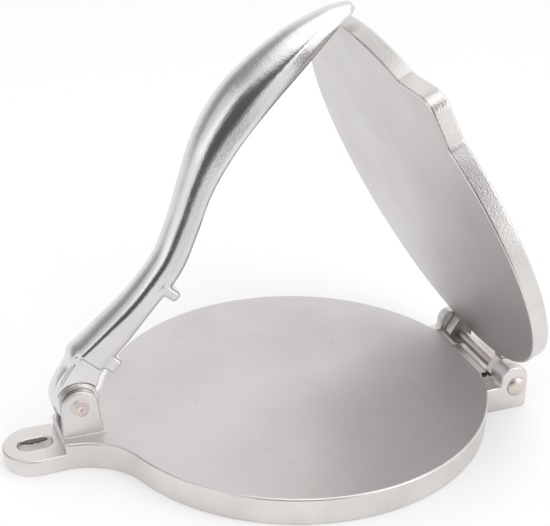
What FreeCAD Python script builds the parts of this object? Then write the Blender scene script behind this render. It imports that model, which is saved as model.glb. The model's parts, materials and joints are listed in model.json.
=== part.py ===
import FreeCAD, Part
import os
import re

import Sketcher

# Cast aluminium tortilla press. Millimetres and degrees. +Z is up, +X runs from the hang tab
# to the plate hinge, and the origin is on the table under the middle of the base disc.
# The press stands open, with the upper plate's rim just clear of the handle's underside.

doc = FreeCAD.newDocument("TortillaPress")
sheet = doc.addObject("Spreadsheet::Sheet", "Sizes")

SIZES = {
    # pressing discs
    "disc_radius": 100, "rim_round": 1.2, "closing_gap": 0.5,
    # base casting
    "base_height": 14.6, "base_draft": 0.8, "base_skin": 6.6, "skirt_wall": 6, "recess_draft": 2,
    "rib_width": 4, "hub_radius": 13, "flat_depth": 2.5,
    # neck and hang tab
    "neck_half": 15.5, "neck_tail": 12, "neck_blend": 34,
    "tab_half": 16, "tab_length": 25.2, "tab_drop": 5.6, "slot_half": 4.9, "slot_gap": 0.6, "slot_wall": 7.4,
    # handle clevis on the neck
    "pivot_offset": 14, "pivot_lift": 15.9, "ear_half": 10.5, "ear_thickness": 4,
    "ear_front": 11.2, "ear_flare": 0.6, "ear_foot_round": 1.5,
    # plate hinge ears at the rear of the base
    "hinge_offset": 8.8, "hinge_drop": 1.6, "lug_ear_half": 40, "near_ear_thickness": 13,
    "near_ear_cheek": 6.4, "ear_step": 1.4, "far_ear_thickness": 6.4,
    "lug_ear_back": 6.7, "lug_ear_top": 11.5, "lug_ear_shoulder": 9.2, "lug_ear_root": 20,
    "lug_ear_round": 7, "lug_ear_shoulder_round": 5.5, "lug_ear_foot": 1.8, "shoulder_drop": 0.6,
    # ledge between the ears
    "ledge_setback": 4.5, "ledge_half": 18.6, "ledge_drop": 3.6, "ledge_foot": 3,
    # upper plate casting
    "plate_thickness": 9, "open_angle": 64.5,
    "lobe_tip_inset": 13.5, "lobe_side_inset": 20.5, "lobe_corner": 8, "lobe_blend": 6,
    "lug_radius": 6.4, "lug_width": 6.8, "lug_clearance": 0.4, "lug_nose": 4, "lug_root": 16,
    "lug_face": 9.4,
    # handle casting
    "beak_overhang": 8.7, "beak_lift": 11.6, "handle_slack": 0.35,
    "grip_width": 27, "grip_depth": 24, "handle_edge": 1.8,
    "knuckle_half": 6.2, "knuckle_radius": 13, "knuckle_round": 5,
    "heel_bow": 42, "shoulder_reach": 3.2, "shoulder_rise": 26, "throat_reach": 10, "throat_rise": 13,
    "tenon_reach": 7, "tenon_rise": 30, "tenon_width": 9,
    "stop_width": 17, "stop_length": 12, "stop_lean": 42,
    "low_stop_reach": 20.3, "low_stop_rise": 16.6, "low_stop_thickness": 7.6,
    "high_stop_reach": 51.2, "high_stop_rise": 48.3, "high_stop_thickness": 5.4,
    # pins and fits
    "hinge_pin_radius": 3, "hinge_head_radius": 5.5, "hinge_head_height": 1.8,
    "hinge_tail_radius": 4.6, "hinge_tail_height": 1.2, "handle_pin_radius": 4.8, "pin_groove": 0.3,
    "running_clearance": 0.05, "overrun": 5, "slight": 0.001,
}

# Places that follow from the sizes: reaches are from the disc's middle, heights from the table.
PLACES = {
    "disc_flat": "disc_radius - flat_depth",
    "pivot_reach": "disc_radius + pivot_offset",
    "pivot_height": "base_height + pivot_lift",
    "neck_end": "pivot_reach + neck_tail",
    "tab_end": "neck_end + tab_length",
    "tab_height": "base_height - tab_drop",
    "slot_start": "neck_end + slot_gap",
    "slot_end": "tab_end - slot_wall",
    "hinge_reach": "disc_radius + hinge_offset",
    "ear_inner": "lug_ear_half - near_ear_thickness",
    "far_ear_outer": "ear_inner + far_ear_thickness",
    "hinge_height": "base_height - hinge_drop",
    "ledge_reach": "hinge_reach - ledge_setback",
    "ledge_top": "base_height - ledge_drop",
    "lobe_reach": "disc_radius - lobe_tip_inset",
    "lobe_side": "disc_radius - lobe_side_inset",
    "plate_tip_reach": "hinge_reach - (hinge_reach + disc_radius)*cos(open_angle)",
    "plate_tip_height": "hinge_height + (hinge_reach + disc_radius)*sin(open_angle)",
    "handle_reach": "pivot_reach + plate_tip_reach + beak_overhang",
    "handle_rise": "plate_tip_height - pivot_height + beak_lift",
}

for row, (alias, amount) in enumerate(SIZES.items(), 1):
    sheet.set("A%d" % row, alias)
    sheet.set("B%d" % row, str(amount))
    sheet.setAlias("B%d" % row, alias)
doc.recompute()


def bound(text):
    """Spell out each named place of a formula and point each named size to its cell."""
    def spell(word):
        if word[0] in PLACES:
            return "(%s)" % bound(PLACES[word[0]])
        return "Sizes." + word[0] if word[0] in SIZES else word[0]
    return re.sub(r"[a-z]\w*", spell, text)


def number(text):
    return float(sheet.evalExpression(bound(text)))


slight = number("slight")


def bind(feature, **formulas):
    for field, text in formulas.items():
        feature.setExpression(field, bound(text))


def new_body(label):
    body = doc.addObject("PartDesign::Body", label)
    body.Label = label
    return body


def new_sketch(body, name, plane, lift=None):
    """A sketch on one of the body's own planes, raised from it by a formula."""
    sketch = body.newObject("Sketcher::SketchObject", name)
    origin_plane = next(item for item in body.Origin.OriginFeatures if item.Role == plane)
    sketch.AttachmentSupport = (origin_plane, [""])
    sketch.MapMode = "FlatFace"
    if lift:
        sketch.setExpression("AttachmentOffset.Base.z", bound(lift))
    return sketch


def hold(sketch, kind, *where, formula):
    index = sketch.addConstraint(Sketcher.Constraint(kind, *where, number(formula)))
    sketch.setExpression("Constraints[%d]" % index, bound(formula))


def nearer_end(sketch, index, point):
    """The number, 1 or 2, of the end of an edge that lies nearer to a point."""
    ends = [sketch.getPoint(index, end).distanceToPoint(point) for end in (1, 2)]
    return 1 + ends.index(min(ends))


def outline(sketch, corners):
    """Draw a closed outline. A corner is (x, y), or (x, y, radius) when an arc leads on from it:
    a positive radius turns the arc's middle to the left of travel, a negative one to the right."""
    first = sketch.GeometryCount
    count = len(corners)
    points = [FreeCAD.Vector(number(corner[0]), number(corner[1]), 0) for corner in corners]
    for index, corner in enumerate(corners):
        start, end = points[index], points[(index + 1) % count]
        if len(corner) == 2:
            sketch.addGeometry(Part.LineSegment(start, end), False)
            continue
        radius = number(corner[2])
        chord = end - start
        to_left = FreeCAD.Vector(-chord.y, chord.x, 0).normalize()
        sagitta = abs(radius) - (radius ** 2 - (chord.Length / 2) ** 2) ** 0.5
        side = 1 if radius > 0 else -1
        middle = (start + end) / 2 + to_left * side * sagitta
        sketch.addGeometry(Part.Arc(start, middle, end), False)
    for index in range(count):
        following = (index + 1) % count
        meeting = points[following]
        sketch.addConstraint(Sketcher.Constraint(
            "Coincident", first + index, nearer_end(sketch, first + index, meeting),
            first + following, nearer_end(sketch, first + following, meeting)))
    for index, corner in enumerate(corners):
        end = nearer_end(sketch, first + index, points[index])
        hold(sketch, "DistanceX", -1, 1, first + index, end, formula=corner[0])
        hold(sketch, "DistanceY", -1, 1, first + index, end, formula=corner[1])
        if len(corner) == 3:
            hold(sketch, "Radius", first + index, formula="abs(%s)" % corner[2])


def circle(sketch, x, y, radius):
    index = sketch.addGeometry(Part.Circle(FreeCAD.Vector(number(x), number(y), 0),
                                           FreeCAD.Vector(0, 0, 1), number(radius)), False)
    hold(sketch, "DistanceX", -1, 1, index, 3, formula=x)
    hold(sketch, "DistanceY", -1, 1, index, 3, formula=y)
    hold(sketch, "Radius", index, formula=radius)


def feature(body, kind, name, sketch, **formulas):
    item = body.newObject("PartDesign::" + kind, name)
    item.Profile = sketch
    sketch.Visibility = False
    bind(item, **formulas)
    return item


def pad(body, name, sketch, length, both_ways=False):
    item = feature(body, "Pad", name, sketch, Length=length)
    item.Midplane = both_ways
    return item


def pocket(body, name, sketch, length, both_ways=True, reverse=False):
    doc.recompute()
    before = body.Shape.Volume
    item = feature(body, "Pocket", name, sketch, Length=length)
    item.Midplane = both_ways
    item.Reversed = reverse
    doc.recompute()
    if not item.Shape.Volume < before:
        raise RuntimeError(name + " cuts nothing")
    return item


def revolve(body, name, sketch, axis):
    item = body.newObject("PartDesign::Revolution", name)
    item.Profile = sketch
    item.ReferenceAxis = (sketch, [axis])
    item.Angle = 360
    return item


def groove(body, name, sketch, axis):
    doc.recompute()
    before = body.Shape.Volume
    item = body.newObject("PartDesign::Groove", name)
    item.Profile = sketch
    item.ReferenceAxis = (sketch, [axis])
    item.Angle = 360
    doc.recompute()
    if not item.Shape.Volume < before:
        raise RuntimeError(name + " cuts nothing")


def round_edges(body, name, base, radius, chosen):
    """Fillet those edges of the last feature that the chooser picks."""
    doc.recompute()
    names = ["Edge%d" % index for index, edge in enumerate(base.Shape.Edges, 1) if chosen(edge)]
    if not names:
        raise RuntimeError(name + " found no edge")
    item = body.newObject("PartDesign::Fillet", name)
    item.Base = (base, names)
    bind(item, Radius=radius)
    return item


def turn(body, angle):
    """Swing a body about its own Y axis."""
    body.Placement.Rotation = FreeCAD.Rotation(FreeCAD.Vector(0, 1, 0), number(angle))
    bind(body, **{"Placement.Rotation.Angle": angle})


def make_base_plate():
    body = new_body("base_plate")

    # Disc and neck share one plan, which narrows towards the table as the casting's draft asks.
    # The neck sweeps out of the disc with a wide blend on each side.
    along = "sqrt((disc_radius + neck_blend)^2 - (neck_half + neck_blend)^2)"
    share = "disc_radius/(disc_radius + neck_blend)"
    root_x = "-%s*%s" % (along, share)
    root_y = "(neck_half + neck_blend)*%s" % share
    sketch = new_sketch(body, "BasePlan", "XY_Plane", lift="base_height")
    outline(sketch, [
        (root_x, "-" + root_y, "-disc_radius"), ("0", "-disc_radius", "-disc_radius"),
        ("disc_radius", "0", "-disc_radius"), ("0", "disc_radius", "-disc_radius"),
        (root_x, root_y, "neck_blend"), ("-" + along, "neck_half"), ("-neck_end", "neck_half"),
        ("-neck_end", "-neck_half"), ("-" + along, "-neck_half", "neck_blend")])
    base = pad(body, "Base", sketch, "base_height")
    base.Reversed = True
    bind(base, TaperAngle="-atan(base_draft/base_height)")
    round_edges(body, "BaseRim", base, "rim_round", lambda edge: (
        edge.BoundBox.ZLength < slight and edge.BoundBox.XLength > slight))

    # The underside is hollow, with a skirt of even wall whose inner side is drafted too.
    sketch = new_sketch(body, "RecessProfile", "XZ_Plane")
    recess = "base_height - base_skin"
    outline(sketch, [
        ("0", "-overrun"), ("0", recess), ("disc_radius - skirt_wall - recess_draft", recess),
        ("disc_radius - skirt_wall", "0"), ("disc_radius - skirt_wall", "-overrun")])
    groove(body, "Recess", sketch, "V_Axis")

    # Two crossed ribs and a round hub stand in the recess, level with the skirt.
    half, arm = "rib_width/2", "disc_radius - skirt_wall"
    sketch = new_sketch(body, "RibPlan", "XY_Plane")
    outline(sketch, [
        (arm, "-" + half), (arm, half), (half, half), (half, arm), ("-" + half, arm), ("-" + half, half),
        ("-(%s)" % arm, half), ("-(%s)" % arm, "-" + half), ("-" + half, "-" + half),
        ("-" + half, "-(%s)" % arm), (half, "-(%s)" % arm), (half, "-" + half)])
    pad(body, "Ribs", sketch, recess)
    sketch = new_sketch(body, "HubPlan", "XY_Plane")
    circle(sketch, "0", "0", "hub_radius")
    pad(body, "Hub", sketch, recess)

    # The hang tab is lower than the neck, widens a little from it and ends in a half round.
    tab_centre = "tab_end - tab_half"
    sketch = new_sketch(body, "TabPlan", "XY_Plane")
    outline(sketch, [
        ("-pivot_reach", "neck_half - 2*rim_round"), ("-neck_end", "neck_half - rim_round"),
        ("-(%s)" % tab_centre, "tab_half", "-tab_half"), ("-tab_end", "0", "-tab_half"),
        ("-(%s)" % tab_centre, "-tab_half"), ("-neck_end", "-neck_half + rim_round"),
        ("-pivot_reach", "-neck_half + 2*rim_round")])
    pad(body, "Tab", sketch, "tab_height")

    # Two ears stand on the neck and carry the handle's pin.
    rise = "pivot_height - base_height"
    sketch = new_sketch(body, "ClevisSide", "XZ_Plane")
    outline(sketch, [
        ("-pivot_reach - ear_front - ear_flare", "tab_height"),
        ("-pivot_reach - ear_front", "pivot_height", "ear_front"),
        ("-pivot_reach", "pivot_height + ear_front", "ear_front"),
        ("-pivot_reach + ear_front", "pivot_height"),
        ("-pivot_reach + ear_front + ear_flare", "tab_height")])
    clevis = pad(body, "Clevis", sketch, "2*ear_half", both_ways=True)
    clevis = round_edges(body, "ClevisFoot", clevis, "ear_foot_round", lambda edge: (
        abs(edge.BoundBox.ZMin - number("base_height")) < slight
        and abs(edge.BoundBox.ZMax - number("base_height")) < slight
        and edge.BoundBox.YLength < slight
        and abs(abs(edge.BoundBox.YMin) - number("ear_half")) < slight))
    sketch = new_sketch(body, "ClevisGapPlan", "XY_Plane", lift="base_height")
    gap = "ear_half - ear_thickness"
    reach_in, reach_out = "-pivot_reach + ear_front + overrun", "-pivot_reach - ear_front - overrun"
    outline(sketch, [
        (reach_out, "-(%s)" % gap), (reach_in, "-(%s)" % gap), (reach_in, gap), (reach_out, gap)])
    pocket(body, "ClevisGap", sketch, rise + " + ear_front + overrun", both_ways=False, reverse=True)
    sketch = new_sketch(body, "ClevisBore", "XZ_Plane")
    circle(sketch, "-pivot_reach", "pivot_height", "handle_pin_radius")
    pocket(body, "ClevisHole", sketch, "2*(ear_half + overrun)")

    # The slot that hangs the press on a hook goes right through the tab.
    sketch = new_sketch(body, "SlotPlan", "XY_Plane")
    near, far = "-slot_start - slot_half", "-slot_end + slot_half"
    outline(sketch, [
        (near, "slot_half"), (far, "slot_half", "-slot_half"), ("-slot_end", "0", "-slot_half"),
        (far, "-slot_half"), (near, "-slot_half", "-slot_half"), ("-slot_start", "0", "-slot_half")])
    pocket(body, "HangSlot", sketch, "2*(tab_height + overrun)")

    # Two ears stand behind the disc and carry the hinge pin. The near one is thicker and steps down
    # on its inner side, so three slabs are drawn: where each starts, how thick it is and its step.
    for name, start, thickness, step in (
            ("NearEar", "-lug_ear_half", "near_ear_cheek", "0"),
            ("NearEarStep", "-lug_ear_half + near_ear_cheek", "near_ear_thickness - near_ear_cheek",
             "ear_step"),
            ("FarEar", "ear_inner", "far_ear_thickness", "0")):
        top = "hinge_height + lug_ear_top - " + step
        back = "hinge_reach + lug_ear_back"
        front = "hinge_reach - lug_ear_shoulder + " + step
        sketch = new_sketch(body, name + "Side", "XZ_Plane", lift="-(%s) - (%s)" % (start, thickness))
        outline(sketch, [
            ("hinge_reach - lug_ear_root", "0"), (back + " - lug_ear_foot", "0"), (back, "lug_ear_foot"),
            (back, top + " - lug_ear_round", "-lug_ear_round"), (back + " - lug_ear_round", top),
            (front + " + lug_ear_shoulder_round", top, "-lug_ear_shoulder_round"),
            (front, top + " - lug_ear_shoulder_round"), (front, "base_height - shoulder_drop"),
            ("hinge_reach - lug_ear_root", "base_height - shoulder_drop")])
        pad(body, name, sketch, thickness)
    sketch = new_sketch(body, "HingeGapPlan", "XY_Plane")
    outline(sketch, [
        ("disc_flat", "-ear_inner"), (back + " + overrun", "-ear_inner"),
        (back + " + overrun", "ear_inner"), ("disc_flat", "ear_inner")])
    pocket(body, "HingeGap", sketch, "2*(base_height + overrun)")
    sketch = new_sketch(body, "LedgePlan", "XY_Plane", lift="ledge_foot")
    outline(sketch, [
        ("disc_flat - rim_round", "-ledge_half"), ("ledge_reach", "-ledge_half"),
        ("ledge_reach", "ledge_half"), ("disc_flat - rim_round", "ledge_half")])
    pad(body, "Ledge", sketch, "ledge_top - ledge_foot")
    sketch = new_sketch(body, "HingeBore", "XZ_Plane")
    circle(sketch, "hinge_reach", "hinge_height", "hinge_pin_radius")
    pocket(body, "HingeHole", sketch, "2*(lug_ear_half + overrun)")
    return body


def make_upper_plate():
    # Drawn closed about the hinge axis, with the pressing face down, then swung open.
    body = new_body("upper_plate")
    face = "base_height + closing_gap - hinge_height"
    back = face + " + plate_thickness"

    def blend(reach):
        """Where a blend round the lobe's root leaves the disc and meets a side of the lobe."""
        centre = "sqrt((disc_radius + lobe_blend)^2 - (%s + lobe_blend)^2)" % reach
        share = "disc_radius/(disc_radius + lobe_blend)"
        return "%s*%s" % (centre, share), "(%s + lobe_blend)*%s" % (reach, share), centre

    tip_across, tip_along, tip_centre = blend("lobe_reach")
    side_along, side_across, side_centre = blend("lobe_side")
    sketch = new_sketch(body, "PlatePlan", "XY_Plane", lift=face)
    x = "-hinge_reach"
    outline(sketch, [
        (x + " + disc_radius", "0", "disc_radius"), (x, "-disc_radius", "disc_radius"),
        ("%s - %s" % (x, side_along), "-" + side_across, "-lobe_blend"),
        ("%s - %s" % (x, side_centre), "-lobe_side"),
        (x + " - lobe_reach + lobe_corner", "-lobe_side", "lobe_corner"),
        (x + " - lobe_reach", "-lobe_side + lobe_corner"),
        (x + " - lobe_reach", "-" + tip_centre, "-lobe_blend"),
        ("%s - %s" % (x, tip_along), "-" + tip_across, "disc_radius"),
        (x + " - disc_radius", "0", "disc_radius"),
        (x, "disc_radius", "disc_radius")])
    plate = pad(body, "Plate", sketch, "plate_thickness")
    round_edges(body, "PlateRim", plate, "rim_round", lambda edge: edge.BoundBox.ZLength < slight)

    # Each lug runs from the plate's rear edge round the hinge pin, against the inner face of its ear.
    near = "ear_inner - lug_clearance"
    for name, start in (("NearLug", "-(%s)" % near), ("FarLug", near + " - lug_width")):
        sketch = new_sketch(body, name + "Side", "XZ_Plane", lift="-(%s) - lug_width" % start)
        outline(sketch, [
            ("-lug_root", face + " + rim_round"), ("-lug_root", back + " - rim_round"),
            ("0", "lug_radius", "lug_radius"), ("lug_radius", "0", "lug_radius"),
            ("0", "-lug_radius"), ("-lug_nose", "-lug_radius"), ("-lug_face", face)])
        pad(body, name, sketch, "lug_width")
    sketch = new_sketch(body, "LugBore", "XZ_Plane")
    circle(sketch, "0", "0", "hinge_pin_radius + running_clearance")
    pocket(body, "LugHole", sketch, "2*(lug_ear_half + overrun)")
    bind(body, **{"Placement.Base.x": "hinge_reach", "Placement.Base.z": "hinge_height"})
    turn(body, "open_angle")
    return body


# Sections of the handle from its foot to its beak: the underside's place as shares of the handle's
# reach and rise, its lean in degrees from upright, and width, depth and crown as shares of the grip's.
HANDLE_SHARES = [
    (0.089, 0.091, 47, 0.68, 0.71, 0.22),
    (0.171, 0.149, 47, 0.67, 0.69, 0.22),
    (0.266, 0.233, 48, 0.64, 0.59, 0.21),
    (0.378, 0.333, 53, 0.61, 0.62, 0.22),
    (0.442, 0.442, 70, 0.62, 0.62, 0.24),
    (0.494, 0.548, 67, 0.70, 0.66, 0.28),
    (0.572, 0.651, 53, 0.88, 0.84, 0.38),
    (0.675, 0.752, 46, 1.00, 0.89, 0.47),
    (0.823, 0.864, 45, 0.86, 0.75, 0.41),
    (0.937, 0.944, 46, 0.56, 0.47, 0.26),
    (0.983, 0.972, 36, 0.43, 0.27, 0.18),
    (1.003, 0.987, 30, 0.25, 0.14, 0.09),
]


def make_handle():
    # Drawn about its own pivot, leaning over the plate as it stands.
    body = new_body("handle")

    # The knuckle is narrower than the arm and fits between the ears. Its back is rounded over.
    sketch = new_sketch(body, "KnuckleSide", "XZ_Plane")
    outline(sketch, [
        ("knuckle_radius", "0", "knuckle_radius"), ("0", "-knuckle_radius", "knuckle_radius"),
        ("-knuckle_radius", "0", "heel_bow"), ("-shoulder_reach", "shoulder_rise"),
        ("tenon_reach", "tenon_rise"),
        ("tenon_reach + tenon_width", "tenon_rise - tenon_width"), ("throat_reach", "throat_rise")])
    knuckle = pad(body, "Knuckle", sketch, "2*knuckle_half", both_ways=True)
    round_edges(body, "KnuckleBack", knuckle, "knuckle_round", lambda edge: (
        edge.BoundBox.YLength < slight and edge.BoundBox.XMax < slight and edge.BoundBox.ZMin < 0))

    # The arm is a run of flat-bottomed, domed sections that swell into the grip.
    sections = []
    for index, (reach, rise, lean, width, depth, crown) in enumerate(HANDLE_SHARES):
        sketch = new_sketch(body, "ArmSection%d" % index, "YZ_Plane")
        sketch.AttachmentOffset = FreeCAD.Placement(
            FreeCAD.Vector(0, 0, 0), FreeCAD.Rotation(FreeCAD.Vector(1, 0, 0), -lean))
        bind(sketch, **{"AttachmentOffset.Base.y": "handle_rise*%s" % rise,
                        "AttachmentOffset.Base.z": "handle_reach*%s" % reach})
        half = "grip_width*%s/2" % width
        deep = "grip_depth*%s" % depth
        dome = "grip_width*%s" % crown
        bow = "(({0})^2 + ({1})^2)/(2*{1})".format(half, dome)
        edge = "handle_edge*%s" % width
        flat = "%s - %s" % (half, edge)
        shoulder = "%s - %s" % (deep, dome)
        outline(sketch, [
            ("-(%s)" % flat, "0"), (flat, "0", "-" + edge), (half, edge),
            (half, shoulder, "-" + bow), ("0", deep, "-" + bow), ("-(%s)" % half, shoulder),
            ("-(%s)" % half, edge, "-" + edge)])
        sections.append(sketch)
    arm = body.newObject("PartDesign::AdditiveLoft", "Arm")
    arm.Profile = sections[0]
    arm.Sections = sections[1:]

    # Two stops under the arm press on the middle of the closed plate.
    inward, lifted = "cos(stop_lean)*stop_length", "sin(stop_lean)*stop_length"
    for name in ("low_stop", "high_stop"):
        reach, rise, half = name + "_reach", name + "_rise", name + "_thickness/2"
        across, up = "sin(stop_lean)*" + half, "cos(stop_lean)*" + half
        sketch = new_sketch(body, name.title().replace("_", ""), "XZ_Plane")
        outline(sketch, [
            ("%s - %s" % (reach, across), "%s - %s" % (rise, up)),
            ("%s + %s" % (reach, across), "%s + %s" % (rise, up)),
            ("%s + %s - %s" % (reach, across, inward), "%s + %s + %s" % (rise, up, lifted)),
            ("%s - %s - %s" % (reach, across, inward), "%s - %s + %s" % (rise, up, lifted))])
        pad(body, name.title().replace("_", "") + "Block", sketch, "stop_width", both_ways=True)
    sketch = new_sketch(body, "KnuckleBore", "XZ_Plane")
    circle(sketch, "0", "0", "handle_pin_radius + running_clearance")
    pocket(body, "KnuckleHole", sketch, "2*(knuckle_half + overrun)")
    bind(body, **{"Placement.Base.x": "-pivot_reach", "Placement.Base.z": "pivot_height"})
    turn(body, "-handle_slack")
    return body


def make_hinge_pin():
    # A steel rod with a domed head on the near ear and a smaller peened end on the far one.
    body = new_body("hinge_pin")
    sketch = new_sketch(body, "PinProfile", "XY_Plane")
    head_bow = "((hinge_head_radius)^2 + (hinge_head_height)^2)/(2*hinge_head_height)"
    tail_bow = "((hinge_tail_radius)^2 + (hinge_tail_height)^2)/(2*hinge_tail_height)"
    outline(sketch, [
        ("0", "-lug_ear_half - hinge_head_height", "-" + head_bow), ("hinge_head_radius", "-lug_ear_half"),
        ("hinge_pin_radius", "-lug_ear_half"), ("hinge_pin_radius", "far_ear_outer"),
        ("hinge_tail_radius", "far_ear_outer", "-" + tail_bow), ("0", "far_ear_outer + hinge_tail_height")])
    revolve(body, "Pin", sketch, "V_Axis")
    bind(body, **{"Placement.Base.x": "hinge_reach", "Placement.Base.z": "hinge_height"})
    return body


def make_handle_pin():
    # A thick steel rod, cut level with the ears and marked by a shallow ring at each end.
    body = new_body("handle_pin")
    sketch = new_sketch(body, "PinProfile", "XY_Plane")
    ring = "handle_pin_radius - pin_groove"
    outline(sketch, [
        ("0", "-ear_half - pin_groove"), (ring, "-ear_half - pin_groove"), ("handle_pin_radius", "-ear_half"),
        ("handle_pin_radius", "ear_half"), (ring, "ear_half + pin_groove"), ("0", "ear_half + pin_groove")])
    revolve(body, "Pin", sketch, "V_Axis")
    bind(body, **{"Placement.Base.x": "-pivot_reach", "Placement.Base.z": "pivot_height"})
    return body


bodies = [make_base_plate(), make_upper_plate(), make_handle(), make_hinge_pin(), make_handle_pin()]
doc.recompute()

for item in doc.Objects:
    if "Invalid" in item.State or "Error" in item.State:
        raise RuntimeError("%s did not build: %s" % (item.Label, item.State))
for body in bodies:
    if body.Shape.isNull() or not body.Shape.isValid() or len(body.Shape.Solids) != 1:
        raise RuntimeError(body.Label + " is not one sound solid")

os.makedirs("parts", exist_ok=True)
for body in bodies:
    body.Shape.exportStep("parts/%s.step" % body.Label)
    box = body.Shape.BoundBox
    print("%s: %.1f cm3, x %.1f to %.1f, y %.1f to %.1f, z %.1f to %.1f" % (
        body.Label, body.Shape.Volume / 1000, box.XMin, box.XMax, box.YMin, box.YMax, box.ZMin, box.ZMax))
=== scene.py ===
import json
import math
import random
import bmesh
import bpy
from mathutils import Matrix, Vector


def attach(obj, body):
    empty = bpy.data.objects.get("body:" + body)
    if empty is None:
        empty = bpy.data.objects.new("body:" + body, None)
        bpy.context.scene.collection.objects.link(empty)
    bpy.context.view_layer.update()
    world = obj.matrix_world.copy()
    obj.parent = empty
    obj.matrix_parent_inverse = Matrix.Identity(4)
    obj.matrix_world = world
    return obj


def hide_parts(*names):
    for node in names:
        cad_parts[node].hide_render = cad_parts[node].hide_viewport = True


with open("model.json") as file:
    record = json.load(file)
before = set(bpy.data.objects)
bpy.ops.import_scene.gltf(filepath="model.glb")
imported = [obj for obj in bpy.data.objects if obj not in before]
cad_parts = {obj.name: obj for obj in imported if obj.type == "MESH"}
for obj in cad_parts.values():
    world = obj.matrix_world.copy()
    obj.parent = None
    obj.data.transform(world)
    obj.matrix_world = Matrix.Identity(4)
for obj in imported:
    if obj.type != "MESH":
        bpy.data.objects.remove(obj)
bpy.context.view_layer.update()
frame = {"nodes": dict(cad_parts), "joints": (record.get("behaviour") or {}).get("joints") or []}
mm = 0.001
joints = {joint["name"]: joint for joint in frame["joints"]}
hingeAt = Vector(joints["plate_hinge"]["pos_m"])
pivotAt = Vector(joints["handle_hinge"]["pos_m"])
print("frame loaded")

# The camera stands where the photograph was taken from, with the lens and shift of its framing.
camera = {
    "azimuth": -20.973, "elevation": 24.14, "roll": 0.463, "distance": 621.03,
    "targetX": -7.79, "targetZ": 105.36, "focalPx": 1271.5, "centrePx": (281.36, 226.26),
    "imagePx": (550, 526), "sensor": 36, "clipFrom": 10, "clipTo": 20000,
}

# White paper under the press and white walls, greyer high on the left. In front, between the side
# softboxes and up to head height, is the dark room, which polished metal picks up as a long streak.
studio = {
    "backdrop": "#ffffff", "ambient": 0.97,
    "sideColour": "#9c9c9f", "sideDirection": (-0.74, 0.27, 0.616),
    "sideOuter": 0.6, "sideInner": 0.99,
    "roomColour": "#525257", "roomDirection": (-0.284, -0.959, 0),
    "roomOuter": 0.824, "roomInner": 0.915, "roomTopOuter": 0.77, "roomTopInner": 0.47,
    "paperSize": 8000, "paperFront": -235, "paperColour": "#f6f6f6", "paperGlow": 0.3,
    "mirroredGlow": 0.85, "shadeRadius": 118, "clearRadius": 150,
    # a soft painted shade on the paper beside the plate hinge: its darkness, centre, size and edges
    "hingeShade": 0.5, "hingeShadeAt": (120.5, 19, 0), "hingeShadeSize": (11, 25, 1),
    "hingeShadeEdge": 1.5, "hingeShadeCore": 0.2,
}

lamps = [
    {"name": "topSoftbox", "at": (150, -300, 1150), "size": 1200, "power": 2.4},
    {"name": "leftSoftbox", "at": (-1100, -200, 600), "size": 1000, "power": 1.3},
    {"name": "rightSoftbox", "at": (720, -980, 430), "size": 800, "power": 2.2},
]


def toLinear(hexColour):
    channels = [int(hexColour[start:start + 2], 16) / 255 for start in (1, 3, 5)]
    return tuple(c / 12.92 if c <= 0.04045 else ((c + 0.055) / 1.055) ** 2.4
                 for c in channels) + (1,)


def addNode(tree, kind, settings, *links):
    # settings hold the node's properties and socket values, and each link is (output, input name)
    node = tree.nodes.new("ShaderNode" + kind)
    for key, value in settings.items():
        if isinstance(key, str) and hasattr(node, key):
            setattr(node, key, value)
        else:
            node.inputs[key].default_value = value
    for output, socket in links:
        tree.links.new(output, node.inputs[socket])
    return node


def makeCamera(c):
    azimuth, elevation = math.radians(c["azimuth"]), math.radians(c["elevation"])
    back = Vector((math.sin(azimuth) * math.cos(elevation),
                   -math.cos(azimuth) * math.cos(elevation), math.sin(elevation)))
    data = bpy.data.cameras.new("camera")
    obj = bpy.data.objects.new("camera", data)
    bpy.context.scene.collection.objects.link(obj)
    obj.location = (Vector((c["targetX"], 0, c["targetZ"])) + back * c["distance"]) * mm
    look = (-back).to_track_quat("-Z", "Y").to_matrix()
    obj.rotation_euler = (look @ Matrix.Rotation(math.radians(c["roll"]), 3, "Z")).to_euler()
    width, height = c["imagePx"]
    data.sensor_width = c["sensor"]
    data.lens = c["focalPx"] / width * c["sensor"]
    data.shift_x = (width / 2 - c["centrePx"][0]) / width
    data.shift_y = (c["centrePx"][1] - height / 2) / width
    data.clip_start, data.clip_end = c["clipFrom"] * mm, c["clipTo"] * mm
    bpy.context.scene.camera = obj


def towards(tree, direction, aim, outer, inner):
    # a soft round patch of the sky, from nothing at the outer cosine to full at the inner one
    dot = addNode(tree, "VectorMath", {"operation": "DOT_PRODUCT", 1: Vector(aim).normalized()},
                  (direction, 0))
    patch = addNode(tree, "MapRange", {
        "interpolation_type": "SMOOTHSTEP", "From Min": outer, "From Max": inner},
        (dot.outputs["Value"], "Value"))
    return patch.outputs[0]


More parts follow.
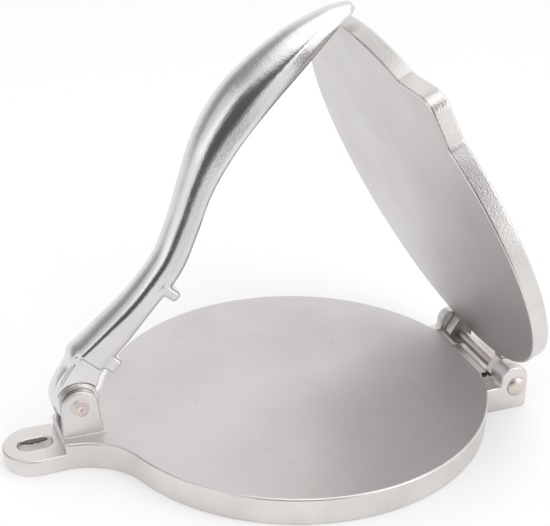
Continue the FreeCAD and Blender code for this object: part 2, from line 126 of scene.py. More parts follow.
def makeWorld(s):
    world = bpy.data.worlds.new("studio")
    bpy.context.scene.world = world
    world.use_nodes = True
    tree = world.node_tree
    tree.nodes.clear()
    direction = addNode(tree, "TexCoord", {}).outputs["Generated"]
    side = towards(tree, direction, s["sideDirection"], s["sideOuter"], s["sideInner"])
    level = addNode(tree, "VectorMath", {"operation": "MULTIPLY", 1: (1, 1, 0)}, (direction, 0))
    heading = addNode(tree, "VectorMath", {"operation": "NORMALIZE"}, (level.outputs[0], 0))
    room = towards(tree, heading.outputs[0], s["roomDirection"], s["roomOuter"], s["roomInner"])
    below = towards(tree, direction, (0, 0, 1), s["roomTopOuter"], s["roomTopInner"])
    dark = addNode(tree, "Math", {"operation": "MULTIPLY"}, (room, 0), (below, 1))
    walls = addNode(tree, "Mix", {"data_type": "RGBA", 6: toLinear(s["backdrop"]),
                                  7: toLinear(s["sideColour"])}, (side, "Factor"))
    around = addNode(tree, "Mix", {"data_type": "RGBA", 7: toLinear(s["roomColour"])},
                     (dark.outputs[0], "Factor"), (walls.outputs[2], 6))
    seen = addNode(tree, "Background", {"Color": toLinear(s["backdrop"])})
    mirrored = addNode(tree, "Background", {}, (around.outputs[2], "Color"))
    light = addNode(tree, "Background", {
        "Color": toLinear(s["backdrop"]), "Strength": s["ambient"]})
    path = addNode(tree, "LightPath", {})
    shiny = addNode(tree, "Math", {"operation": "MAXIMUM"}, (path.outputs["Is Glossy Ray"], 0),
                    (path.outputs["Is Transmission Ray"], 1))
    indirect = addNode(tree, "MixShader", {}, (shiny.outputs[0], 0), (light.outputs[0], 1),
                       (mirrored.outputs[0], 2))
    shown = addNode(tree, "MixShader", {}, (path.outputs["Is Camera Ray"], 0),
                    (indirect.outputs[0], 1), (seen.outputs[0], 2))
    addNode(tree, "OutputWorld", {}, (shown.outputs[0], "Surface"))


def makeFloor(s):
    bm = bmesh.new()
    bmesh.ops.create_grid(bm, x_segments=1, y_segments=1, size=s["paperSize"] * mm / 2)
    bmesh.ops.translate(bm, verts=bm.verts, vec=(0, (s["paperSize"] / 2 + s["paperFront"]) * mm, 0))
    mesh = bpy.data.meshes.new("floor")
    bm.to_mesh(mesh)
    bm.free()
    obj = bpy.data.objects.new("floor", mesh)
    bpy.context.scene.collection.objects.link(obj)
    obj.data.materials.append(studioPaper(s))


def studioPaper(s):
    # seamless photographer's paper: matt white, glowing a little where bright metal sees it, but
    # not in the shade under the press, with a soft painted shade at the foot of the plate hinge
    material = bpy.data.materials.new("studioPaper")
    material.use_nodes = True
    tree = material.node_tree
    tree.nodes.clear()
    lit = addNode(tree, "BsdfDiffuse", {"Color": toLinear(s["paperColour"])})
    glow = addNode(tree, "Emission", {"Color": toLinear(s["backdrop"])})
    place = addNode(tree, "TexCoord", {}).outputs["Object"]
    away = addNode(tree, "VectorMath", {"operation": "LENGTH"}, (place, 0))
    clear = addNode(tree, "MapRange", {
        "interpolation_type": "SMOOTHSTEP", "From Min": s["shadeRadius"] * mm,
        "From Max": s["clearRadius"] * mm, "To Max": s["mirroredGlow"]},
        (away.outputs["Value"], "Value"))
    # painted shade: a soft dark patch on the paper at the foot of the plate hinge, mixed in as
    # black
    fromHinge = addNode(tree, "VectorMath", {
        "operation": "SUBTRACT", 1: Vector(s["hingeShadeAt"]) * mm}, (place, 0))
    scaled = addNode(tree, "VectorMath", {
        "operation": "DIVIDE", 1: Vector(s["hingeShadeSize"]) * mm}, (fromHinge.outputs[0], 0))
    hingeAway = addNode(tree, "VectorMath", {"operation": "LENGTH"}, (scaled.outputs[0], 0))
    shade = addNode(tree, "MapRange", {
        "interpolation_type": "SMOOTHSTEP", "From Min": s["hingeShadeEdge"],
        "From Max": s["hingeShadeCore"], "To Max": s["hingeShade"]},
        (hingeAway.outputs["Value"], "Value"))
    path = addNode(tree, "LightPath", {})
    mirrored = addNode(tree, "Math", {"operation": "MULTIPLY"}, (path.outputs["Is Glossy Ray"], 0),
                       (clear.outputs["Result"], 1))
    direct = addNode(tree, "Math", {"operation": "MULTIPLY", 1: s["paperGlow"]},
                     (path.outputs["Is Camera Ray"], 0))
    share = addNode(tree, "Math", {"operation": "ADD"}, (mirrored.outputs[0], 0),
                    (direct.outputs[0], 1))
    lifted = addNode(tree, "MixShader", {}, (share.outputs[0], 0), (lit.outputs[0], 1),
                     (glow.outputs[0], 2))
    unlit = addNode(tree, "BsdfDiffuse", {"Color": (0, 0, 0, 1)})
    surface = addNode(tree, "MixShader", {}, (shade.outputs[0], 0), (lifted.outputs[0], 1),
                      (unlit.outputs[0], 2))
    addNode(tree, "OutputMaterial", {}, (surface.outputs[0], "Surface"))
    return material


def makeLamps(rows):
    for row in rows:
        data = bpy.data.lights.new(row["name"], "AREA")
        data.size = row["size"] * mm
        data.energy = row["power"]
        obj = bpy.data.objects.new(row["name"], data)
        bpy.context.scene.collection.objects.link(obj)
        obj.location = Vector(row["at"]) * mm
        obj.rotation_euler = (-obj.location).to_track_quat("-Z", "Y").to_euler()


makeCamera(camera)
makeWorld(studio)
makeFloor(studio)
makeLamps(lamps)
print("studio ready")

# Sand-cast aluminium, tumbled and wiped: bright satin sides and edges that sparkle with a fine
# grain, faint clouds where the melt cooled unevenly, and a few dark pinholes. The real grain of
# this and of the other metals is nearer to 0.3 mm, and it is drawn coarser so that it shows.
castAluminium = {
    "colour": "#e4e1df", "cloudColour": "#dad7d5", "markAndGlintColour": "#989492", "roughness": 0.36,
    "cloudSize": 25, "grainSize": 0.9, "grainDepth": 0.1, "pinholeSpacing": 14, "pinholeSize": 0.45,
    "scratchSpacing": 15, "scratchWidth": 0.16, "scratchShare": 0.3,
}
# The two pressing faces are ground flat on a belt: greyer and duller than the rims, with the odd
# nick and handling scratch.
groundAluminium = {
    "colour": "#d9d6d5", "cloudColour": "#d0cdcc", "markAndGlintColour": "#989594", "roughness": 0.42,
    "cloudSize": 60, "grainSize": 0.7, "grainDepth": 0.02, "pinholeSpacing": 24, "pinholeSize": 0.6,
    "scratchSpacing": 26, "scratchWidth": 0.2, "scratchShare": 0.4,
}
# The plate's back, which is never seen at work, is left as it came out of the sand.
sandAluminium = {
    "colour": "#d3d0ce", "cloudColour": "#c9c6c4", "markAndGlintColour": "#8f8b89", "roughness": 0.55,
    "cloudSize": 60, "grainSize": 1.0, "grainDepth": 0.14, "pinholeSpacing": 12, "pinholeSize": 0.6,
    "scratchSpacing": 24, "scratchWidth": 0.2, "scratchShare": 0.35,
}
# Inside the hinge gap and on the flash in the slot: dull, rough metal, darkened as painted shade.
recessShadeAluminium = {
    "colour": "#8c8784", "cloudColour": "#7b7673", "markAndGlintColour": "#5d5855", "roughness": 0.55,
    "cloudSize": 5, "grainSize": 1.1, "grainDepth": 0.16, "pinholeSpacing": 6, "pinholeSize": 0.5,
    "scratchSpacing": 10, "scratchWidth": 0.16, "scratchShare": 0.3,
}
# The handle's casting is buffed for the hand: mirror-like streaks over a fine orange-peel speckle.
# Its pits and scratches are coloured near white: painted glints.
polishedAluminium = {
    "colour": "#e3e2e1", "cloudColour": "#d9d8d7", "markAndGlintColour": "#f6f6f6", "roughness": 0.22,
    "cloudSize": 30, "grainSize": 0.85, "grainDepth": 0.07, "pinholeSpacing": 6, "pinholeSize": 0.4,
    "scratchSpacing": 12, "scratchWidth": 0.12, "scratchShare": 0.25,
}
# Cold-drawn steel rod, bare: bright along its length, with a faint warm cast on the cut ends.
drawnSteel = {
    "colour": "#ddd3cc", "cloudColour": "#d2c7bf", "markAndGlintColour": "#b5a9a1", "roughness": 0.36,
    "cloudSize": 6, "grainSize": 0.5, "grainDepth": 0.03, "pinholeSpacing": 3, "pinholeSize": 0.25,
    "scratchSpacing": 4, "scratchWidth": 0.1, "scratchShare": 0.3,
}

# What all the metals share: how much of the surface the clouds take, how the scratches wander and
# where they break off, and how far the gloss wanders from cloud to cloud.
metalPattern = {
    "cloudFrom": 0.35, "cloudTo": 0.65, "cloudDetail": 4.0, "grainDetail": 2.0,
    "scratchBend": 1.5, "scratchBreaks": 3, "scratchFrom": 0.56, "scratchTo": 0.62,
    "glossSpread": 0.15,
}


def metalMaterial(name, m, p):
    material = bpy.data.materials.new(name)
    material.use_nodes = True
    tree = material.node_tree
    tree.nodes.clear()
    place = addNode(tree, "TexCoord", {}).outputs["Object"]
    clouds = addNode(tree, "TexNoise", {
        "Scale": 1 / (m["cloudSize"] * mm), "Detail": p["cloudDetail"]}, (place, "Vector"))
    cloudShare = addNode(tree, "MapRange", {"From Min": p["cloudFrom"], "From Max": p["cloudTo"]},
                         (clouds.outputs["Fac"], "Value"))
    base = addNode(tree, "Mix", {"data_type": "RGBA", 6: toLinear(m["colour"]),
                                 7: toLinear(m["cloudColour"])}, (cloudShare.outputs[0], "Factor"))
    pits = addNode(tree, "TexVoronoi", {"Scale": 1 / (m["pinholeSpacing"] * mm)}, (place, "Vector"))
    pitEdge = m["pinholeSize"] / m["pinholeSpacing"] / 2
    pitShare = addNode(tree, "MapRange", {"From Min": pitEdge, "From Max": pitEdge / 2},
                       (pits.outputs["Distance"], "Value"))
    # scratches run along the borders of a second, warped set of cells, and only here and there
    spacing = m["scratchSpacing"] * mm
    bend = addNode(tree, "TexNoise", {"Scale": p["scratchBend"] / spacing}, (place, "Vector"))
    warped = addNode(tree, "VectorMath", {
        "operation": "MULTIPLY_ADD", 1: Vector((1, 1, 1)) * spacing},
        (bend.outputs["Color"], 0), (place, 2))
    cells = addNode(tree, "TexVoronoi", {"feature": "DISTANCE_TO_EDGE", "Scale": 1 / spacing},
                    (warped.outputs[0], "Vector"))
    lineEdge = m["scratchWidth"] / m["scratchSpacing"] / 2
    line = addNode(tree, "MapRange", {"From Min": lineEdge, "From Max": 0.0},
                   (cells.outputs["Distance"], "Value"))
    parts = addNode(tree, "TexNoise", {"Scale": p["scratchBreaks"] / spacing}, (place, "Vector"))
    here = addNode(tree, "MapRange", {"From Min": p["scratchFrom"], "From Max": p["scratchTo"],
                                      "To Max": m["scratchShare"]}, (parts.outputs["Fac"], "Value"))
    scratch = addNode(tree, "Math", {"operation": "MULTIPLY"}, (line.outputs[0], 0),
                      (here.outputs[0], 1))
    marks = addNode(tree, "Math", {"operation": "MAXIMUM"}, (pitShare.outputs[0], 0),
                    (scratch.outputs[0], 1))
    # pits and scratches take the mark colour, which on the handle is near white: painted glints
    colour = addNode(tree, "Mix", {"data_type": "RGBA", 7: toLinear(m["markAndGlintColour"])},
                     (marks.outputs[0], "Factor"), (base.outputs[2], 6))
    grain = addNode(tree, "TexNoise", {
        "Scale": 1 / (m["grainSize"] * mm), "Detail": p["grainDetail"]}, (place, "Vector"))
    height = addNode(tree, "Math", {"operation": "SUBTRACT"}, (grain.outputs["Fac"], 0),
                     (marks.outputs[0], 1))
    bump = addNode(tree, "Bump", {"Strength": 1.0, "Distance": m["grainDepth"] * mm},
                   (height.outputs[0], "Height"))
    gloss = addNode(tree, "MapRange", {"To Min": m["roughness"] * (1 - p["glossSpread"]),
                                       "To Max": m["roughness"] * (1 + p["glossSpread"])},
                    (clouds.outputs["Fac"], "Value"))
    shader = addNode(tree, "BsdfPrincipled", {"Metallic": 1.0}, (colour.outputs[2], "Base Color"),
                     (gloss.outputs[0], "Roughness"), (bump.outputs[0], "Normal"))
    addNode(tree, "OutputMaterial", {}, (shader.outputs[0], "Surface"))
    return material


castFinish = metalMaterial("castAluminium", castAluminium, metalPattern)
polishFinish = metalMaterial("polishedAluminium", polishedAluminium, metalPattern)
groundFinish = metalMaterial("groundAluminium", groundAluminium, metalPattern)
recessShadeFinish = metalMaterial("recessShadeAluminium", recessShadeAluminium, metalPattern)
sandFinish = metalMaterial("sandAluminium", sandAluminium, metalPattern)
steelFinish = metalMaterial("drawnSteel", drawnSteel, metalPattern)
for name, obj in frame["nodes"].items():
    for slot in obj.material_slots:
        slot.material = polishFinish if name == "handle" else castFinish
print("metals ready")


# Points this close to a height are level with it, and points this close together are one.
levelWithin, oneWithin = 0.01 * mm, 0.001 * mm
# A face is flat if its normal rises or falls by at least flatFrom, and upright below uprightTo.
flatFrom, uprightTo = 0.99, 0.5
# An edge is a corner if its faces turn by more than this, in a plan and in a side view.
planCorner, sideCorner = math.radians(40), math.radians(30)
# The cast finish comes first in the list of each casting, and the others have these places.
groundPlace, recessShadePlace, sandPlace = 1, 2, 3


def addPiece(name, bm, finishes, body, node):
    # a finished piece keeps its place in its mesh, rides on a body and stands for its CAD node
    mesh = bpy.data.meshes.new(name)
    bm.to_mesh(mesh)
    bm.free()
    mesh.polygons.foreach_set("use_smooth", [True] * len(mesh.polygons))
    obj = bpy.data.objects.new(name, mesh)
    bpy.context.scene.collection.objects.link(obj)
    for finish in finishes:
        mesh.materials.append(finish)
    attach(obj, body)
    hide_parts(node)
    print(name, "made")
    return obj


def finishFlat(bm, height, upward, place):
    # the flat face at this height, turned up (1) or down (-1), gets one of the piece's finishes
    for face in bm.faces:
        face.normal_update()
        away = abs(face.calc_center_median().z - height * mm)
        if away < 2 * levelWithin and face.normal.z * upward > flatFrom:
            face.material_index = place


def paintRecessShade(bm, centre, halfSize):
    # upright faces inside this box, in mm, take the darkened finish: painted shade
    for face in bm.faces:
        away = (face.calc_center_median() / mm) - Vector(centre)
        inside = all(abs(part) < half for part, half in zip(away, halfSize))
        if inside and abs(face.normal.z) < uprightTo:
            face.material_index = recessShadePlace


def drawOutline(bm, start, moves, height):
    # a path in plan: each move is a line to (x, y), or an arc about (x, y) with its turn and steps
    last = bm.verts.new((start[0] * mm, start[1] * mm, height * mm))
    for kind, x, y, *turn in moves:
        if kind == "line":
            last = bmesh.ops.extrude_vert_indiv(bm, verts=[last])["verts"][0]
            last.co = (x * mm, y * mm, height * mm)
        else:
            made = bmesh.ops.spin(
                bm, geom=[last], cent=(x * mm, y * mm, height * mm), axis=(0, 0, 1),
                angle=math.radians(turn[0]), steps=turn[1])["geom_last"]
            last = next(item for item in made if isinstance(item, bmesh.types.BMVert))


def closeOutline(bm, height):
    # joins the two ends of the path and gives its loop of edges at this height
    bm.verts.ensure_lookup_table()
    level = [vert for vert in bm.verts if abs(vert.co.z - height * mm) < levelWithin]
    bmesh.ops.remove_doubles(bm, verts=level, dist=2 * levelWithin)
    ends = [vert for vert in bm.verts if len(vert.link_edges) == 1]
    if len(ends) == 2:
        bm.edges.new(ends)
    return [edge for edge in bm.edges if not edge.link_faces]


def fillLoops(bm, edges):
    return [item for item in bmesh.ops.triangle_fill(bm, use_beauty=True, edges=edges)["geom"]
            if isinstance(item, bmesh.types.BMFace)]


def levelEdges(bm, height):
    # the edges of the outline at one height, where a flat face meets a side
    return [edge for edge in bm.edges
            if all(abs(vert.co.z - height * mm) < levelWithin for vert in edge.verts)
            and len(edge.link_faces) == 2 and edge.calc_face_angle() > planCorner]


def rollEdges(bm, edges, width, segments=4, slide=True, clamp=False):
    bmesh.ops.bevel(bm, geom=edges, offset=width * mm, offset_type="OFFSET", affect="EDGES",
                    segments=segments, profile=0.5, material=-1, clamp_overlap=clamp,
                    loop_slide=slide)


def makeSlab(start, moves, bottom, top, draft, edgeRound):
    # a flat casting from its plan: its sides lean in towards the bottom, and both rims are rolled
    bm = bmesh.new()
    drawOutline(bm, start, moves, top)
    loop = closeOutline(bm, top)
    face = bmesh.ops.contextual_create(bm, geom=loop)["faces"][0]
    face.normal_update()
    if face.normal.z > 0:
        face.normal_flip()
    lower = bmesh.ops.extrude_face_region(bm, geom=[face], use_keep_orig=True)["geom"]
    below = next(item for item in lower if isinstance(item, bmesh.types.BMFace))
    bmesh.ops.translate(bm, verts=below.verts[:], vec=(0, 0, (bottom - top) * mm))
    narrowLoop(below, draft)
    bmesh.ops.recalc_face_normals(bm, faces=bm.faces)
    rollEdges(bm, levelEdges(bm, top) + levelEdges(bm, bottom), edgeRound)
    return bm


def narrowLoop(face, draft):
    # every corner moves in square to the outline, by the mould's draft
    moved = {}
    face.normal_update()
    for loop in face.loops:
        before = (loop.vert.co - loop.link_loop_prev.vert.co).normalized()
        after = (loop.link_loop_next.vert.co - loop.vert.co).normalized()
        inward = (face.normal.cross(before) + face.normal.cross(after)).normalized()
        moved[loop.vert] = inward * draft * mm
    for vert, shift in moved.items():
        vert.co += shift


def addShell(bm, other):
    # puts another closed shell into the same piece
    mesh = bpy.data.meshes.new("part")
    other.to_mesh(mesh)
    other.free()
    bm.from_mesh(mesh)
    bpy.data.meshes.remove(mesh)


def pushFaces(bm, faces, vec):
    # gives flat faces depth along a vector, and returns the far corners
    made = bmesh.ops.extrude_face_region(bm, geom=faces, use_keep_orig=True)["geom"]
    moved = [item for item in made if isinstance(item, bmesh.types.BMVert)]
    bmesh.ops.translate(bm, verts=moved, vec=vec)
    return moved


def makeProfile(corners, fromY, toY, edgeRound):
    # a side view pushed across, with every corner edge rolled
    bm = bmesh.new()
    face = bm.faces.new([bm.verts.new((x * mm, fromY * mm, z * mm)) for x, z in corners])
    pushFaces(bm, [face], (0, (toY - fromY) * mm, 0))
    bmesh.ops.recalc_face_normals(bm, faces=bm.faces)
    rollEdges(bm, [edge for edge in bm.edges if edge.calc_face_angle(0) > sideCorner], edgeRound, 3)
    return bm


def arcOf(x, z, radius, fromDegrees, toDegrees, steps):
    # corner points round an arc of a side view
    turns = [math.radians(fromDegrees + (toDegrees - fromDegrees) * step / steps)
             for step in range(steps + 1)]
    return [(x + radius * math.cos(turn), z + radius * math.sin(turn)) for turn in turns]


# The base disc and the neck that sweeps out of it are one slab, hollow below. Reaches are along -X.
baseSlab = {
    "radius": 100, "height": 14.6, "draft": 0.8, "edgeRound": 1.2, "flat": 97.5,
    "neckHalf": 15.5, "neckBlend": 34, "neckEnd": 124, "neckCorner": 2.5, "neckTrim": 6,
    "discSteps": 96, "blendSteps": 24, "cornerSteps": 5,
}
# The hollow's wall leans, and it meets the ceiling in a short slope.
underside = {
    "radius": 94, "top": 8, "draft": 2, "slopeLean": 0.4, "slopeRise": 1.6, "slopeRun": 1.2,
    "ribWidth": 4, "ribInset": 0.5, "hubRadius": 13, "edgeRound": 0.8,
    "steps": 120, "hubSteps": 72, "seam": 0.005,
}
# The tab hangs the press up. It is set lower than the slab, widens from its root inside the neck to
# a round end, and has a long slot.
hangTab = {
    "height": 9, "draft": 0.49, "edgeRound": 1.0, "half": 16, "centre": 135.2,
    "rootReach": 118, "rootHalf": 14.4, "bendReach": 121.5, "bendHalf": 15.2, "leanFrom": 14,
    "slotFrom": 131.5, "slotTo": 138.9, "slotHalf": 4.9, "endSteps": 40, "slotSteps": 24,
}


def makeBaseSlab(s, u):
    radius, blend, half = s["radius"], s["neckBlend"], s["neckHalf"]
    along = math.sqrt((radius + blend) ** 2 - (half + blend) ** 2)
    across = half + blend
    sweep = math.degrees(math.atan2(across, along))
    flatHalf = math.sqrt(radius ** 2 - s["flat"] ** 2)
    flatTurn = math.degrees(math.atan2(flatHalf, s["flat"]))
    corner = s["neckCorner"]
    # the blend stops a few degrees short, where the neck's end cuts it
    turn = 90 - sweep - s["neckTrim"]
    neckX = -along + blend * math.sin(math.radians(s["neckTrim"]))
    neckY = across - blend * math.cos(math.radians(s["neckTrim"]))
    moves = [
        ("arc", corner - s["neckEnd"], corner - half, 90, s["cornerSteps"]),
        ("line", neckX, -neckY),
        ("arc", -along, -across, -turn, s["blendSteps"]),
        ("arc", 0, 0, 180 - sweep - flatTurn, s["discSteps"]),
        ("line", s["flat"], flatHalf),
        ("arc", 0, 0, 180 - sweep - flatTurn, s["discSteps"]),
        ("arc", -along, across, -turn, s["blendSteps"]),
        ("line", corner - s["neckEnd"], half),
        ("arc", corner - s["neckEnd"], half - corner, 90, s["cornerSteps"]),
    ]
    bm = makeSlab((-s["neckEnd"], corner - half), moves, 0, s["height"], s["draft"], s["edgeRound"])
    finishFlat(bm, s["height"], 1, groundPlace)
    # the flat underside is opened, and the hollow is turned about the disc's middle
    under = max((face for face in bm.faces if face.normal.z < -flatFrom),
                key=lambda face: face.calc_area())
    bmesh.ops.delete(bm, geom=[under], context="FACES_ONLY")
    inner = u["radius"] - u["draft"]
    points = [(u["radius"], 0), (inner + u["slopeLean"], u["top"] - u["slopeRise"]),
              (inner - u["slopeRun"], u["top"]), (0, u["top"])]
    verts = [bm.verts.new((x * mm, 0, z * mm)) for x, z in points]
    edges = [bm.edges.new(pair) for pair in zip(verts, verts[1:])]
    bmesh.ops.spin(bm, geom=verts + edges, cent=(0, 0, 0), axis=(0, 0, 1), angle=math.tau,
                   steps=u["steps"], use_merge=True)
    bmesh.ops.remove_doubles(bm, verts=bm.verts, dist=u["seam"] * mm)
    mouth = [edge for edge in bm.edges if edge.is_boundary]
    fillLoops(bm, mouth)
    bmesh.ops.recalc_face_normals(bm, faces=bm.faces)
    return bm


def addUnderside(bm, u):
    # crossed ribs and a hub, level with the skirt
    length = 2 * (u["radius"] - u["ribInset"])
    for size in ((length, u["ribWidth"]), (u["ribWidth"], length)):
        rib = bmesh.new()
        bmesh.ops.create_cube(rib, size=1)
        bmesh.ops.scale(rib, verts=rib.verts, vec=Vector((*size, u["top"])) * mm)
        addBelow(bm, rib, u)
    hub = bmesh.new()
    bmesh.ops.create_cone(hub, cap_ends=True, segments=u["hubSteps"], radius1=u["hubRadius"] * mm,
                          radius2=u["hubRadius"] * mm, depth=u["top"] * mm)
    addBelow(bm, hub, u)


def addBelow(bm, part, u):
    bmesh.ops.translate(part, verts=part.verts, vec=(0, 0, u["top"] * mm / 2))
    rollEdges(part, levelEdges(part, 0), u["edgeRound"], 3)
    addShell(bm, part)


def makeTab(t):
    bm = bmesh.new()
    centre, half = t["centre"], t["half"]
    root, rootHalf, bend, bendHalf = t["rootReach"], t["rootHalf"], t["bendReach"], t["bendHalf"]
    drawOutline(bm, (-root, -rootHalf), [
        ("line", -root, rootHalf), ("line", -bend, bendHalf), ("line", -centre, half),
        ("arc", -centre, 0, 180, t["endSteps"]), ("line", -bend, -bendHalf)], t["height"])
    closeOutline(bm, t["height"])
    drawOutline(bm, (-t["slotFrom"], -t["slotHalf"]), [
        ("arc", -t["slotFrom"], 0, 180, t["slotSteps"]), ("line", -t["slotTo"], t["slotHalf"]),
        ("arc", -t["slotTo"], 0, 180, t["slotSteps"])], t["height"])
    edges = closeOutline(bm, t["height"])
    faces = fillLoops(bm, edges)
    # the sides lean in towards the bottom as the neck's do
    for vert in pushFaces(bm, faces, (0, 0, -t["height"] * mm)):
        middle = Vector((max(vert.co.x, -centre * mm), 0, 0))
        out = Vector((vert.co.x, vert.co.y, 0)) - middle
        if out.length > t["leanFrom"] * mm:
            vert.co -= out.normalized() * t["draft"] * mm
    bmesh.ops.recalc_face_normals(bm, faces=bm.faces)
    rollEdges(bm, levelEdges(bm, t["height"]) + levelEdges(bm, 0), t["edgeRound"], 3, slide=False)
    return bm


# The mould has left a thin ragged fin of flash along the slot's far wall. The seed keeps its teeth.
slotFlash = {
    "fromX": -143.2, "toX": -127.4, "steps": 46, "wall": 4.9, "sunk": 0.6, "reach": 3.0,
    "leastShare": 0.5, "taper": 0.08, "bottom": 7.1, "thickness": 0.9, "seed": 7,
}

# Side views of what stands on the slab, in mm as (x, z), with the faces' places along Y.
clevisEar = {
    "faces": [(-10.5, -6.5), (6.5, 10.5)], "edgeRound": 0.9,
    "side": [(-123.3, 13), (-122.8, 29.5)] + arcOf(-113.8, 30.2, 9.0, 176, 20, 22)
            + [(-104.9, 28.4), (-102.6, 13)],
}
clevisFoot = {
    "faces": [(-10.9, -6.4), (6.4, 10.9)], "edgeRound": 0.4,
    "side": [(-122.8, 13), (-122.7, 15.3), (-102.0, 15.3), (-101.9, 13)],
}
hingeEar = {
    "faces": [(-40, -33.6), (27, 33.4)], "edgeRound": 0.9,
    "side": [(89, 0), (113.9, 0), (115.3, 1.6)] + arcOf(108.3, 17.4, 7.0, 0, 90, 8)
            + arcOf(105.6, 18.7, 5.7, 95, 180, 8) + arcOf(97.6, 16.4, 2.2, 0, -90, 6)
            + [(89, 14.1)],
}
hingeStep = {
    "faces": [(-34, -27)], "edgeRound": 0.6,
    "side": [(89, 0), (113.9, 0), (115.1, 1.6)] + arcOf(107.9, 16.0, 7.0, 0, 90, 8)
            + arcOf(106.8, 17.0, 6.0, 95, 180, 8) + [(100.8, 14.0), (89, 14.0)],
}
hingeLedge = {
    "faces": [(-18.6, 14)], "edgeRound": 0.5,
    "side": [(95.5, 3), (104.3, 3), (104.3, 10.6), (103.9, 11), (95.5, 11)],
}
# The box round the hinge gap, whose upright faces get the painted shade.
hingeGap = {"centre": (106, 0, 8), "halfSize": (9, 27.5, 8)}


def makeFlash(f):
    chance = random.Random(f["seed"])
    bm = bmesh.new()
    inner, outer = [], []
    for step in range(f["steps"] + 1):
        x = f["fromX"] + (f["toX"] - f["fromX"]) * step / f["steps"]
        arch = math.sin(math.pi * (f["taper"] + (1 - 2 * f["taper"]) * step / f["steps"]))
        reach = f["reach"] * arch * chance.uniform(f["leastShare"], 1.0)
        outer.append((x, f["wall"] + f["sunk"]))
        inner.append((x, f["wall"] - reach))
    lower = [bm.verts.new((x * mm, y * mm, f["bottom"] * mm)) for x, y in inner + outer[::-1]]
    pushFaces(bm, [bm.faces.new(lower)], (0, 0, f["thickness"] * mm))
    bmesh.ops.recalc_face_normals(bm, faces=bm.faces)
    # the whole fin takes the darkened finish, as painted shade in the slot
    for face in bm.faces:
        face.material_index = recessShadePlace
    return bm


def makeBase():
    bm = makeBaseSlab(baseSlab, underside)
    addUnderside(bm, underside)
    addShell(bm, makeTab(hangTab))
    addShell(bm, makeFlash(slotFlash))
    for part in (clevisEar, clevisFoot, hingeEar, hingeStep, hingeLedge):
        for fromY, toY in part["faces"]:
            addShell(bm, makeProfile(part["side"], fromY, toY, part["edgeRound"]))
    # the hinge gap's upright faces take the painted shade
    paintRecessShade(bm, hingeGap["centre"], hingeGap["halfSize"])
    return bm


basePiece = addPiece("baseCasting", makeBase(), (castFinish, groundFinish, recessShadeFinish), "base",
                     "base_plate")

# The upper plate is drawn closed about the hinge, face down, and then swung open.
upperPlate = {
    "radius": 100, "thickness": 9, "face": 2.1, "open": 64.5, "edgeRound": 1.2, "centre": 108.8,
    "lobeReach": 86.5, "lobeSide": 79.5, "lobeCorner": 8, "lobeBlend": 6,
    "shortSteps": 72, "longSteps": 120, "cornerSteps": 12, "blendSteps": 6,
}
# The lugs are drawn about the hinge's axis. Their sides that face the gap get the painted shade.
plateLug = {
    "faces": [(-26.6, -19.8), (19.8, 26.6)], "edgeRound": 0.6,
    "side": [(-18, 3.3), (-18, 9.9)] + arcOf(0, 0, 6.4, 90, 0, 8) + arcOf(0, 0, 6.4, 0, -90, 8)
            + [(-4, -6.4), (-9.4, 2.1)],
    "recessShadeCentre": (-6, 0, 2), "recessShadeHalf": (13, 20, 10),
}


def makeUpperPlate(p):
    radius, blend, corner = p["radius"], p["lobeBlend"], p["lobeCorner"]
    middle, reach, side = -p["centre"], p["lobeReach"], p["lobeSide"]
    tipCentre = math.sqrt((radius + blend) ** 2 - (reach + blend) ** 2)
    sideCentre = math.sqrt((radius + blend) ** 2 - (side + blend) ** 2)
    tipTurn = math.degrees(math.atan2(tipCentre, reach + blend))
    sideTurn = math.degrees(math.atan2(sideCentre, side + blend))
    bm = makeSlab((middle + radius, 0), [
        ("arc", middle, 0, -(90 + sideTurn), p["shortSteps"]),
        ("arc", middle - sideCentre, -(side + blend), sideTurn, p["blendSteps"]),
        ("line", middle - reach + corner, -side),
        ("arc", middle - reach + corner, -side + corner, -90, p["cornerSteps"]),
        ("line", middle - reach, -tipCentre),
        ("arc", middle - reach - blend, -tipCentre, tipTurn, p["blendSteps"]),
        ("arc", middle, 0, -(180 + tipTurn), p["longSteps"]),
    ], p["face"], p["face"] + p["thickness"], 0, p["edgeRound"])
    finishFlat(bm, p["face"], -1, groundPlace)
    finishFlat(bm, p["face"] + p["thickness"], 1, sandPlace)
    for fromY, toY in plateLug["faces"]:
        lug = makeProfile(plateLug["side"], fromY, toY, plateLug["edgeRound"])
        # the lug sides that face the gap take the painted shade
        paintRecessShade(lug, plateLug["recessShadeCentre"], plateLug["recessShadeHalf"])
        addShell(bm, lug)
    bmesh.ops.rotate(bm, verts=bm.verts, cent=(0, 0, 0),
                     matrix=Matrix.Rotation(math.radians(p["open"]), 3, "Y"))
    bmesh.ops.translate(bm, verts=bm.verts, vec=hingeAt)
    return bm


platePiece = addPiece("plateCasting", makeUpperPlate(upperPlate),
                      (castFinish, groundFinish, recessShadeFinish, sandFinish), "plate",
                      "upper_plate")

# Along the arm: reach and rise from the pivot, lean in degrees, width, depth, crown of the rounded
# back, and how keen the edge between back and side is (1 is a crease, 0 is one round). The flare
# widens the foot of a section, as a share of its width.
handleArm = {
    "stations": [
        (12.6, 16.6, 47, 18.4, 17.0, 3.6, 0.1), (24.2, 27.2, 47, 18.1, 16.6, 4.4, 0.1),
        (37.7, 42.5, 48, 17.3, 14.2, 5.2, 0.1), (53.5, 60.8, 53, 16.5, 14.9, 5.6, 0.1),
        (62.6, 80.7, 70, 16.7, 14.9, 6.5, 0.1), (70.0, 100.0, 67, 18.9, 15.8, 7.6, 0.0),
        (81.0, 118.8, 53, 23.8, 20.2, 10.3, 0.0), (95.6, 137.3, 46, 27.0, 21.4, 12.2, 0.1),
        (116.5, 157.7, 45, 23.2, 18.0, 9.0, 0.7), (132.7, 172.3, 46, 15.1, 11.3, 4.4, 1.0),
        (139.2, 177.4, 36, 11.6, 6.5, 2.6, 1.0), (142.0, 180.2, 30, 6.8, 3.4, 1.4, 1.0)],
    "between": 6, "around": 40, "cornering": 0.3, "flare": 0,
}
